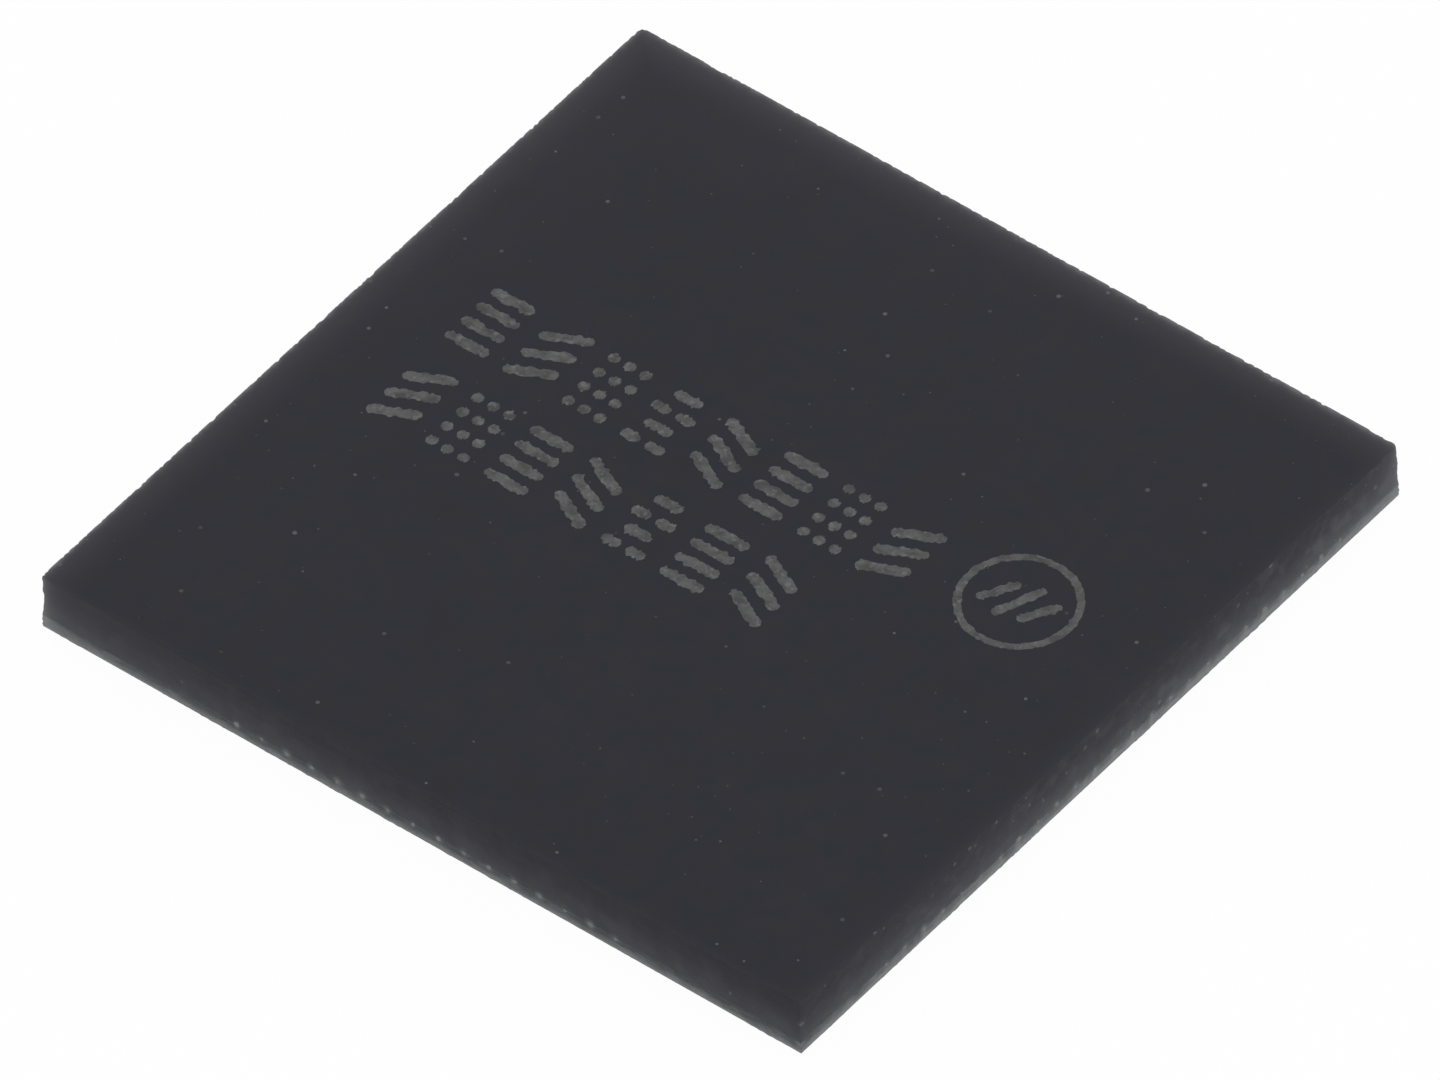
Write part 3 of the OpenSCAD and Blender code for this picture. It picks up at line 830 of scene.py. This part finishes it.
def cap_skin(sizes, inset, level):
    """Reach, drop and share of chipping of each level of the cap's profile, at each step of its path.

    The saw leaves level streaks and grain, both less on top and at the foot. Chips fade away from the
    edge by exp(-(distance / reach)^2). The upright corners are worn by the same curve, and blunt by
    exp(-distance / reach).
    """
    rng = np.random.default_rng(SEED)
    radius, chip = millimetres(sizes.edge_radius), millimetres(sizes.chip_depth)
    path = square_path(PATH_STEPS)
    shape = (len(inset), PATH_STEPS)
    below_top = CAP_TOP - level
    top_band, foot_band, top_share, foot_share, foot_stands_out = 0.03, 0.08, 0.35, 0.2, 0.0032
    on_side = np.clip(below_top / top_band, 0.0, 1.0)[:, None]
    off_foot = np.clip((level - UPPER_MASK_TOP) / foot_band, 0.0, 1.0)[:, None]
    streak = ring_noise(rng, shape, (0.5, 90.0)) + 0.5 * ring_noise(rng, shape, (0.4, 8.0))
    grain = ring_noise(rng, shape, (0.9, 3.2))
    relief = millimetres(sizes.saw_relief) * (streak + 0.9 * grain)
    relief *= (top_share + (1 - top_share) * on_side) * (foot_share + (1 - foot_share) * off_foot)
    relief -= foot_stands_out * (1.0 - off_foot)

    # The two near edges, at +X and -Y, are chipped less than the others
    near_share, near_side, chip_reach, least, deepest = 0.3, 0.998, 0.04, 0.2, 2.4
    bites = ring_noise(rng, (1, PATH_STEPS), (1.0, 1.3)) + 0.6 * ring_noise(rng, (1, PATH_STEPS), (1.0, 3.0))
    bites = np.clip(bites - least, 0.0, deepest) / deepest
    bites = bites * np.where((path[:, 0] > near_side) | (path[:, 1] < -near_side), near_share, 1.0)
    from_edge = np.hypot(inset, below_top)[:, None]
    bites = chip * bites * np.exp(-((from_edge / chip_reach) ** 2))

    # The upright corners lose a little more, and the far and the right one are blunt at the top
    far_blunt, right_blunt, blunt_reach, blunt_depth = 0.021, 0.012, 0.05, 0.06
    worn, worn_unevenly, worn_reach = 0.006, 0.0045, 0.035
    along = (0.5 - np.abs(np.arange(PATH_STEPS) / PATH_STEPS * 4 % 1.0 - 0.5)) * 2 * HALF
    wear = np.exp(-((along / worn_reach) ** 2))
    wear = wear * (worn + worn_unevenly * np.abs(ring_noise(rng, shape, (1.0, 3.0))))
    blunt = np.select([path[:, 1] < 0, path[:, 0] < 0], [0.0, far_blunt], right_blunt)
    blunt = blunt * np.exp(-along / blunt_reach)
    wear += blunt * np.exp(-below_top / blunt_depth)[:, None]
    relief += wear * np.interp(inset, [radius, 0.06], [1.0, 0.3])[:, None] * off_foot

    furthest_out, top_grain = 0.004, 0.0012
    reach = HALF - inset[:, None] - np.maximum(relief + bites, -furthest_out)
    drop = 0.5 * bites + top_grain * np.abs(grain) * (1 - on_side)
    return reach, drop, bites / chip


class PACKAGE_OT_cap(bpy.types.Operator):
    """Build the moulded cap, with its rounded upper edge, chips and sawn sides"""

    bl_idname = "package.cap"
    bl_label = "Moulded cap"

    def execute(self, context):
        sizes, colours = context.scene.package_sizes, context.scene.package_colours
        inset, level = cap_profile(millimetres(sizes.edge_radius))
        reach, drop, share = cap_skin(sizes, inset, level)
        sides = [square_ring(PATH_STEPS, r, z) for r, z in zip(reach, level[:, None] - drop)]

        # Rings of ever fewer points close the top and, inside the package, the foot
        counts = [PATH_STEPS // 2**k for k in (1, 2, 3, 4, 5, 5, 5, 5)]
        foot_insets = (0.03, 0.07, 0.14, 0.3, 0.6)
        roof_insets = (0.065, 0.13, 0.3, 0.65, 1.3, 2.4, 3.6, 4.8)
        foot = [square_ring(n, HALF - within, UPPER_MASK_TOP) for n, within in zip(counts, foot_insets)]
        roof = [square_ring(n, HALF - within, CAP_TOP) for n, within in zip(counts, roof_insets)]
        lowest, highest = (np.array([[0, 0, z]]) for z in (UPPER_MASK_TOP, CAP_TOP))
        rings = [lowest, *foot[::-1], *sides, *roof, highest]

        starts = np.cumsum([0] + [len(ring) for ring in rings])
        first = 1 + len(foot)
        weight = np.zeros(starts[-1])
        weight[starts[first] : starts[first] + share.size] = share.ravel()
        faces, picks = [], []
        for k in range(len(rings) - 1):
            made = join_rings(starts[k], len(rings[k]), starts[k + 1], len(rings[k + 1]))
            faces += made
            picks += [np.full(len(f), int(first <= k < first + WALL_LEVELS)) for f in made]
        make_piece(
            "cap_surface",
            np.concatenate(rings),
            faces,
            [moulded_face(colours), sawn_face(colours)],
            slot="mould_compound",
            picks=picks,
            replaced=["mould_cap"],
            weights={CHIPPED: weight},
        )
        return {"FINISHED"}


class PACKAGE_OT_sawn_edge(bpy.types.Operator):
    """Build the rough skin of the substrate's four sawn sides: mask, glass laminate, mask"""

    bl_idname = "package.sawn_edge"
    bl_label = "Sawn substrate edge"

    def execute(self, context):
        sizes, colours = context.scene.package_sizes, context.scene.package_colours
        rng = np.random.default_rng(SEED + 1)
        lower_mask = np.linspace(LOWER_MASK_FOOT, LOWER_MASK_TOP, 2, endpoint=False)
        core = np.linspace(LOWER_MASK_TOP, UPPER_MASK_FOOT, 8, endpoint=False)
        upper_mask = np.linspace(UPPER_MASK_FOOT, UPPER_MASK_TOP, 3)
        z = np.concatenate([lower_mask, core, upper_mask])

        # Fibres are torn out of the core. The masks are smoother, and drawn in at their outer ends where
        # the relief is low
        stands_out, drawn_in, thickness, deepest, highest = 0.0035, 0.002, 0.02, 0.003, 0.012
        shape = (len(z), PATH_STEPS)
        fibre = ring_noise(rng, shape, (0.5, 12.0)) + ring_noise(rng, shape, (0.6, 1.4))
        in_core = ((z > LOWER_MASK_TOP) & (z < UPPER_MASK_FOOT))[:, None]
        relief = millimetres(sizes.fibre_relief) * fibre * np.where(in_core, 0.7, 0.35)
        ends = np.isin(np.arange(len(z)), (0, len(z) - 1))[:, None] & (np.abs(relief) < drawn_in)
        reach = HALF + stands_out + np.clip(relief, -deepest, highest) - ends * drawn_in
        rings = [square_ring(PATH_STEPS, r, level) for r, level in zip(reach, z)]
        for level in (UPPER_MASK_TOP, LOWER_MASK_FOOT):
            rings.append(square_ring(PATH_STEPS, HALF - thickness, level))
        faces, picks = [], []
        for k in range(len(rings)):
            faces += join_rings(k * PATH_STEPS, PATH_STEPS, (k + 1) % len(rings) * PATH_STEPS, PATH_STEPS)
            between = k < len(z) - 1 and LOWER_MASK_TOP <= z[k] < UPPER_MASK_FOOT
            picks.append(np.full(PATH_STEPS, 0 if between else 1 + (z[k % len(z)] >= UPPER_MASK_FOOT)))
        materials = [
            laminate(colours, "sawn_laminate"),
            # The lower mask's edge takes the burr tone, partly painted light from the floor
            mask_edge(colours, "sawn_lower_mask", shade(colours.mask_burr_and_light, 0.75), colours.mask_burr_and_light),
            mask_edge(colours, "sawn_upper_mask", colours.laminate, shade(colours.laminate, 1.3)),
        ]
        points = np.concatenate(rings)
        make_piece("sawn_substrate_edge", points, faces, materials, slot="laminate", picks=picks)
        return {"FINISHED"}


class PACKAGE_OT_tail_ends(bpy.types.Operator):
    """Build the smeared metal ends of the plating tails along the four sides"""

    bl_idname = "package.tail_ends"
    bl_label = "Tail ends"

    def execute(self, context):
        sizes, colours = context.scene.package_sizes, context.scene.package_colours
        rng = np.random.default_rng(SEED + 2)
        x, y, side = tail_places(sizes).T[:, :, None, None]
        count = len(x)

        # Low dome: rings of an ellipse that shrink as they rise by the circle's own curve
        turns, rise = 12, np.array([-0.6, 0.0, 0.45, 0.8, 0.97])[:, None]
        lowest_dome, skin, level_spread = 0.009, 0.004, 0.006
        angle = circle(turns)
        width = millimetres(sizes.tail_size) / 2 * (1 + 0.22 * scatter(rng, (count, 1, 1)))
        tall = width * (0.95 + 0.2 * scatter(rng, (count, 1, 1)))
        dome = lowest_dome + 0.003 * rng.random((count, 1, 1))
        lobes = 1 + 0.1 * scatter(rng, (count, 1, turns))
        shrunk = np.sqrt(1 - np.clip(rise, 0, 1) ** 2) * lobes
        across = width * shrunk * np.cos(angle)
        level = TAIL_LEVEL + level_spread * rng.standard_normal((count, 1, 1))
        height = level + tall * shrunk * np.sin(angle)
        outward = skin + dome * rise
        side = side.astype(int)
        normal_x, normal_y = np.array([0, 1, 0, -1])[side], np.array([1, 0, -1, 0])[side]
        x = x + outward * normal_x + across * normal_y
        y = y + outward * normal_y - across * normal_x
        points = np.stack(np.broadcast_arrays(x, y, height), 3).reshape(-1, 3)

        # Seen from outside, across runs to the left, so the rings are taken the other way round
        stride = len(rise) * turns
        faces = [repeat_faces(f[:, ::-1], count, stride) for f in tube_faces(len(rise), turns)]
        tails = metal("sawn_tail", colours.tail, 0.45, 0.65, grain_scale=60.0)
        make_piece("tail_ends", points, faces, [tails], slot="gold")
        return {"FINISHED"}


def rough_strokes(rng, starts, ends, width, height):
    """Closed low strokes with round ends and an uneven outline, one for each pair of end points.

    A stroke's half width at distance s from its middle is half the width, times the circle's own
    curve near the ends. Each row across it is a flat-topped arch, closed below the surface.
    """
    count, rows, narrowest = len(starts), 60, 0.002
    span = np.linalg.norm(ends - starts, axis=1)[:, None]
    direction = np.where(span > 0, (ends - starts) / np.maximum(span, 1e-9), [1.0, 0.0])
    turn = np.linspace(-1, 1, rows) * math.pi / 2
    along = (span + width) / 2 * np.sin(turn) * 0.999
    beyond = np.clip((np.abs(along) - span / 2) / (width / 2), 0, 1)
    half = width / 2 * np.sqrt(1 - beyond**2)
    blur = ring_noise(rng, (count * 2, rows), (0.0, 1.1)).reshape(2, count, rows)
    half = np.maximum(half * (1 + 0.09 * blur) + 0.004 * blur, narrowest)
    across = np.array([1.0, 0.9, 0.45, 0.0, -0.45, -0.9, -1.0])
    lift = np.array([-0.6, 0.85, 1.0, 0.95, 1.0, 0.85, -0.6])
    wide = np.where(across > 0, half[0][..., None], half[1][..., None]) * across
    along = along[..., None]
    middle_x, middle_y = ((starts + ends) / 2).T[:, :, None, None]
    direction_x, direction_y = direction.T[:, :, None, None]
    x = middle_x + along * direction_x - wide * direction_y
    y = middle_y + along * direction_y + wide * direction_x
    z = np.broadcast_to(CAP_TOP + height * lift, wide.shape)
    faces = [repeat_faces(f, count, rows * len(across)) for f in tube_faces(rows, len(across))]
    return np.stack([x, y, z], 3).reshape(-1, 3), faces


def rough_ring(rng, centre, radius, width, height):
    """Closed low ring with an uneven outline: a flat-topped arch carried round the centre."""
    turns, edge_spread = 360, 0.006
    angle = circle(turns)
    edges = ring_noise(rng, (2, turns), (0.0, 1.3)) * edge_spread
    outwards = np.array([0.5, 0.4, 0.0, -0.4, -0.5])[:, None]
    edge_shares = np.array([[1.0, 0.0], [0.9, 0.0], [0.0, 0.0], [0.0, 0.9], [0.0, 1.0]])
    radii = radius + outwards * width + edge_shares @ edges
    lift = np.array([-0.6, 0.9, 1.0, 0.9, -0.6])[:, None]
    x, y = centre[0] + radii * np.cos(angle), centre[1] + radii * np.sin(angle)
    points = np.stack([x, y, CAP_TOP + height * lift + 0 * radii], 2)
    return points.reshape(-1, 3), [lathe_faces(len(lift), turns, True)]


class PACKAGE_OT_marking(bpy.types.Operator):
    """Build the laser marking: two rows of plain patterns and a ring"""

    bl_idname = "package.marking"
    bl_label = "Marking"

    def execute(self, context):
        sizes, colours = context.scene.package_sizes, context.scene.package_colours
        rng = np.random.default_rng(SEED + 3)
        width, height = millimetres(sizes.mark_width), millimetres(sizes.mark_height)

        # Patterns as strokes from point to point in a cell 0.7 wide and 1.1 high; a dot has no length
        levels, slant_levels = (0.46, 0.153, -0.153, -0.46), (0.36, 0.0, -0.36)
        side, lean, brick, half_brick, beside = 0.25, 0.12, 0.13, 0.06, 0.19
        ladder = [((-side, v), (side, v)) for v in levels]
        rising = [((-side, v - lean), (side, v + lean)) for v in slant_levels]
        falling = [((-side, v + lean), (side, v - lean)) for v in slant_levels]
        dots = [((u, v), (u, v)) for u in (-side, 0.0, side) for v in levels]
        bricks = [((-brick, v), (brick, v)) for v in levels[::2]]
        short = [(u - half_brick, u + half_brick) for u in (-beside, beside)]
        bricks += [((left, v), (right, v)) for left, right in short for v in levels[1::2]]

        # Each row: its cells, the x of the first, their pitch and the row's y
        rows = [
            ((ladder, rising, dots, bricks, falling, ladder, dots, rising), -4.29, 0.9314, 0.80),
            ((rising, dots, ladder, falling, bricks, ladder, falling), -4.28, 0.9283, -0.77),
        ]
        lines = np.array(
            [
                [(a[0] + x, a[1] + y), (b[0] + x, b[1] + y)]
                for cells, first, pitch, y in rows
                for x, cell in zip(first + pitch * np.arange(len(cells)), cells)
                for a, b in cell
            ]
        )

        # Ring of the marking, with three slanted bars inside
        centre, radius, ring_width, bar_width = np.array([3.92, 1.015]), 0.771, 0.115, 0.14
        bars = [[(x - lean, -tall), (x + lean, tall)] for x, tall in ((-0.32, 0.2), (0.0, 0.3), (0.32, 0.2))]
        bars = np.array(bars) + centre
        parts = [
            rough_strokes(rng, lines[:, 0], lines[:, 1], width, height),
            rough_strokes(rng, bars[:, 0], bars[:, 1], bar_width, height),
            rough_ring(rng, centre, radius, ring_width, height),
        ]
        make_piece("marking", *joined(parts), [marked_face(colours)], slot="mould_compound")
        return {"FINISHED"}


class PACKAGE_OT_balls(bpy.types.Operator):
    """Build the solder balls, a piece for each row of the grid"""

    bl_idname = "package.balls"
    bl_label = "Solder balls"

    def execute(self, context):
        sizes, colours = context.scene.package_sizes, context.scene.package_colours
        rng = np.random.default_rng(SEED + 4)
        solder = reflowed_solder(colours)

        # A sphere from its lower pole up to the mask, and a narrower last ring sunk in the mask's opening
        radius, turns, neck = millimetres(sizes.ball_diameter) / 2, 16, 0.165
        sunk = LOWER_MASK_FOOT + 0.006
        polar = np.array([0.16, 0.36, 0.58, 0.8, 1.0]) * math.acos(1 - LOWER_MASK_FOOT / radius)
        sphere = np.stack([radius * np.sin(polar), radius * (1 - np.cos(polar))], 1)
        profile = np.concatenate([sphere, [[neck, sunk]]])
        unit = np.concatenate([turned(profile, turns), [[0, 0, 0], [0, 0, sunk]]])
        walls = lathe_faces(len(profile), turns, False)
        pole = len(profile) * turns
        fans = np.concatenate(join_rings(pole, 1, 0, turns) + join_rings(pole - turns, turns, pole + 1, 1))
        rows, places = ball_places(sizes)
        for row, letter in enumerate(ROW_LETTERS):
            at = places[rows == row]
            swell = 1 + 0.006 * scatter(rng, (len(at), 1, 1)) * [1, 1, 0]
            balls = copied(unit * swell, at).reshape(-1, 3)
            faces = [repeat_faces(f, len(at), len(unit)) for f in (walls, fans)]
            replaced = ["ball_row_" + letter]
            make_piece("solder_balls_" + letter, balls, faces, [solder], slot="solder", replaced=replaced)
        return {"FINISHED"}


class PACKAGE_OT_mask_relief(bpy.types.Operator):
    """Build the lower mask's relief where it lies over lands, links and via pads"""

    bl_idname = "package.mask_relief"
    bl_label = "Mask relief"

    def execute(self, context):
        sizes, colours = context.scene.package_sizes, context.scene.package_colours
        land, ridge = millimetres(sizes.land_diameter) / 2, millimetres(sizes.mask_ridge)
        ball, via = side_nets(sizes)
        balls, vias = all_sides(ball), all_sides(via)

        # Profiles of radius and share of the ridge, over its crest and out to a foot sunk in the mask
        sunk, opening = LOWER_MASK_FOOT + 0.004, 0.176
        collar = [(0.18, 0.7), (0.2, 1.0), (land - 0.002, 0.9), (land + 0.022, 0.25)]
        dome = [(0.02, 0.7), (0.055, 1.0), (0.086, 0.85), (0.104, 0.2)]
        collar, dome = (
            [(radius, LOWER_MASK_FOOT - share * ridge) for radius, share in part] for part in (collar, dome)
        )
        collar += [(land + 0.035, sunk), (opening, sunk)]
        dome += [(0.118, sunk)]

        # Links: a low arch carried from inside the land's rim to inside the via pad's
        in_land, in_pad = 0.01, 0.07
        direction = vias - balls
        direction /= np.linalg.norm(direction, axis=1)[:, None]
        normal = np.stack([-direction[:, 1], direction[:, 0]], 1)
        ends = np.stack([balls + direction * (land - in_land), vias - direction * in_pad], 1)
        across = np.array([0.055, 0.04, 0.014, -0.014, -0.04, -0.055])
        flank, crest = LOWER_MASK_FOOT - 0.25 * ridge, LOWER_MASK_FOOT - 0.95 * ridge
        lift = np.array([sunk, flank, crest, crest, flank, sunk])
        flat = ends[:, :, None, :] + normal[:, None, None, :] * across[:, None]
        links = np.concatenate([flat, np.broadcast_to(lift[:, None], (*flat.shape[:3], 1))], 3)
        link_faces = [f[:, ::-1] for f in tube_faces(2, len(across))]
        parts = [
            revolved(collar, 20, balls, True),
            revolved(dome, 12, vias, False),
            (links.reshape(-1, 3), [repeat_faces(f, len(balls), 2 * len(across)) for f in link_faces]),
        ]
        ink = solder_mask(colours, "mask_over_copper", 1.5)
        make_piece("mask_relief", *joined(parts), [ink], slot="solder_mask", sharp=60.0)
        return {"FINISHED"}


class PACKAGE_OT_inner_finishes(bpy.types.Operator):
    """Give every node of the frame that stays its own finish"""

    bl_idname = "package.inner_finishes"
    bl_label = "Frame finishes"

    def execute(self, context):
        colours = context.scene.package_colours
        copper = metal("copper_foil", colours.copper, 0.28, 0.42, grain_scale=30.0)
        gold = metal("gold_plating", colours.gold, 0.22, 0.36, grain_scale=50.0, dark=0.88)
        wire = metal("gold_wire", colours.gold, 0.12, 0.22, grain_scale=90.0, dark=0.92)
        finishes = {
            "silicon_die": ground_silicon(colours),
            "die_attach_film": die_film(colours),
            "finger_plating": gold,
            "corner_index": gold,
            "die_paddle": copper,
            "via_barrels": copper,
            "laminate_core": laminate(colours),
            "via_plugs": solder_mask(colours, "via_ink", 0.7),
            "top_solder_mask": solder_mask(colours, "upper_mask"),
            "bottom_solder_mask": solder_mask(colours, "lower_mask"),
        }
        for side in SIDES:
            finishes["bond_wires_" + side] = wire
            finishes["top_copper_" + side] = copper
            finishes["bottom_copper_" + side] = copper
        for name, material in finishes.items():
            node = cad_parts[name]
            if node.material_slots:
                node.material_slots[0].material = material
            else:
                node.data.materials.append(material)
        return {"FINISHED"}


class PACKAGE_OT_stage(bpy.types.Operator):
    """Set up the floor, the light and the camera"""

    bl_idname = "package.stage"
    bl_label = "Stage"

    def execute(self, context):
        scene = context.scene
        self.lay_floor(scene)
        self.light(scene)
        self.aim_camera(scene)
        scene.view_settings.view_transform = "Standard"
        return {"FINISHED"}

    def lay_floor(self, scene):
        """Square sheet of a few panels under the balls, which camera rays see as paper white.

        It shows from above only, and the light of the surround comes through it as through a light table.
        """
        reach, panels = 0.3, 12
        lines = np.linspace(-reach, reach, panels + 1)
        x, y = np.meshgrid(lines, lines, indexing="ij")
        points = np.stack([x, y, np.zeros_like(x)], 2).reshape(-1, 3)
        i, j = np.meshgrid(np.arange(panels), np.arange(panels), indexing="ij")
        first = (i * (panels + 1) + j).ravel()
        corners = np.stack([first, first + panels + 1, first + panels + 2, first + 1], 1)
        mesh = bpy.data.meshes.new("floor")
        mesh.from_pydata(points.tolist(), [], corners.tolist())
        floor = bpy.data.objects.new("floor", mesh)
        scene.collection.objects.link(floor)

        nodes = Finish("floor_paper")
        tone = scene.package_colours.floor
        base = nodes.cloudy(tone, 0.99, 1.0, scale=0.2, roughness=0.5)
        shader = {"Base_Color": base, "Roughness": 0.9, "Specular_IOR_Level": 0.1}
        paper = nodes.add("ShaderNodeBsdfPrincipled", **shader).outputs[0]
        glow = nodes.add("ShaderNodeEmission", Color=(1, 1, 1, 1), Strength=1.0).outputs[0]
        seen = nodes.add("ShaderNodeLightPath").outputs["Is Camera Ray"]
        upper = nodes.mix(nodes.times(seen, 0.97), paper, glow)
        below = nodes.add("ShaderNodeNewGeometry").outputs["Backfacing"]
        clear = nodes.add("ShaderNodeBsdfTransparent").outputs[0]
        mesh.materials.append(nodes.end(nodes.mix(below, upper, clear)))
        floor.visible_diffuse = floor.visible_glossy = floor.visible_shadow = False

    def light(self, scene):
        """Even white surround, brighter where it is seen than where it lights, and one low wide panel."""
        scene.world = bpy.data.worlds.new("studio")
        scene.world.use_nodes = True
        nodes = Nodes(scene.world.node_tree)
        rays = nodes.add("ShaderNodeLightPath").outputs
        seen = nodes.math("MAXIMUM", rays["Is Camera Ray"], rays["Is Glossy Ray"])
        seen = nodes.math("MAXIMUM", seen, rays["Is Transmission Ray"])
        lit, white = (
            nodes.add("ShaderNodeBackground", Color=(1, 1, 1, 1), Strength=strength).outputs[0]
            for strength in (0.85, 1.0)
        )
        nodes.add("ShaderNodeOutputWorld", Surface=nodes.mix(seen, lit, white))

        # The panel stands on the side of +X and faces the body's middle
        panel = bpy.data.lights.new("side_panel", "AREA")
        panel.shape = "RECTANGLE"
        panel.size, panel.size_y = 0.12, 0.03
        panel.energy = 0.0155
        lamp = bpy.data.objects.new("side_panel", panel)
        place, middle = Vector((0.1, -0.012, 0.018)), Vector((0, 0, 0.0006))
        turn = (place - middle).normalized().to_track_quat("Z", "Y").to_matrix()
        lamp.matrix_world = Matrix.Translation(place) @ turn.to_4x4()
        scene.collection.objects.link(lamp)

    def aim_camera(self, scene):
        """Long lens at the photograph's angle.

        The picture is 1440 pixels wide, and the aim is the middle of the body moved by the measured
        offset along the picture's own right and up.
        """
        azimuth, elevation, roll = (math.radians(v) for v in (39.40, 46.17, -1.464))
        distance, pixels_per_mm, sensor, wide = 600.0, 80.45, 36.0, 1440
        offset_right, offset_up = -0.0132, 0.0322
        middle = Vector((0, 0, 0.6))
        level = math.cos(elevation)
        back = Vector((math.sin(azimuth) * level, -math.cos(azimuth) * level, math.sin(elevation)))
        right = Vector((math.cos(azimuth), math.sin(azimuth), 0))
        up = back.cross(right)
        rolled_right = right * math.cos(roll) + up * math.sin(roll)
        up = up * math.cos(roll) - right * math.sin(roll)
        right = rolled_right
        aim = middle + right * offset_right + up * offset_up
        data = bpy.data.cameras.new("camera")
        data.sensor_width = sensor
        data.lens = pixels_per_mm * distance / wide * sensor
        data.clip_start, data.clip_end = 0.01, 5.0
        camera = bpy.data.objects.new("camera", data)
        turn = Matrix((right, up, back)).transposed().to_4x4()
        camera.matrix_world = Matrix.Translation((aim + back * distance) * MM) @ turn
        scene.collection.objects.link(camera)
        scene.camera = camera


class PACKAGE_PT_panel(bpy.types.Panel):
    """Sidebar panel with the sizes, the colours and a button for each step"""

    bl_label = "Package"
    bl_idname = "PACKAGE_PT_panel"
    bl_space_type = "VIEW_3D"
    bl_region_type = "UI"
    bl_category = "Package"

    def draw(self, context):
        scene = context.scene
        for group in (scene.package_sizes, scene.package_colours):
            box = self.layout.box()
            for name in type(group).__annotations__:
                box.prop(group, name)
        for step in STEPS:
            self.layout.operator(step.bl_idname)


STEPS = (
    PACKAGE_OT_cap,
    PACKAGE_OT_sawn_edge,
    PACKAGE_OT_tail_ends,
    PACKAGE_OT_marking,
    PACKAGE_OT_balls,
    PACKAGE_OT_mask_relief,
    PACKAGE_OT_inner_finishes,
    PACKAGE_OT_stage,
)
CLASSES = (PackageSizes, PackageColours, *STEPS, PACKAGE_PT_panel)


def register():
    """Registers the classes and puts the two groups of properties on the scene."""
    for cls in CLASSES:
        bpy.utils.register_class(cls)
    bpy.types.Scene.package_sizes = bpy.props.PointerProperty(type=PackageSizes)
    bpy.types.Scene.package_colours = bpy.props.PointerProperty(type=PackageColours)


def unregister():
    """Takes back what register does."""
    del bpy.types.Scene.package_colours
    del bpy.types.Scene.package_sizes
    for cls in reversed(CLASSES):
        bpy.utils.unregister_class(cls)


def main():
    """Builds every piece and the stage."""
    register()
    bpy.ops.package.cap()
    bpy.ops.package.sawn_edge()
    bpy.ops.package.tail_ends()
    bpy.ops.package.marking()
    bpy.ops.package.balls()
    bpy.ops.package.mask_relief()
    bpy.ops.package.inner_finishes()
    bpy.ops.package.stage()


if __name__ == "__main__":
    main()
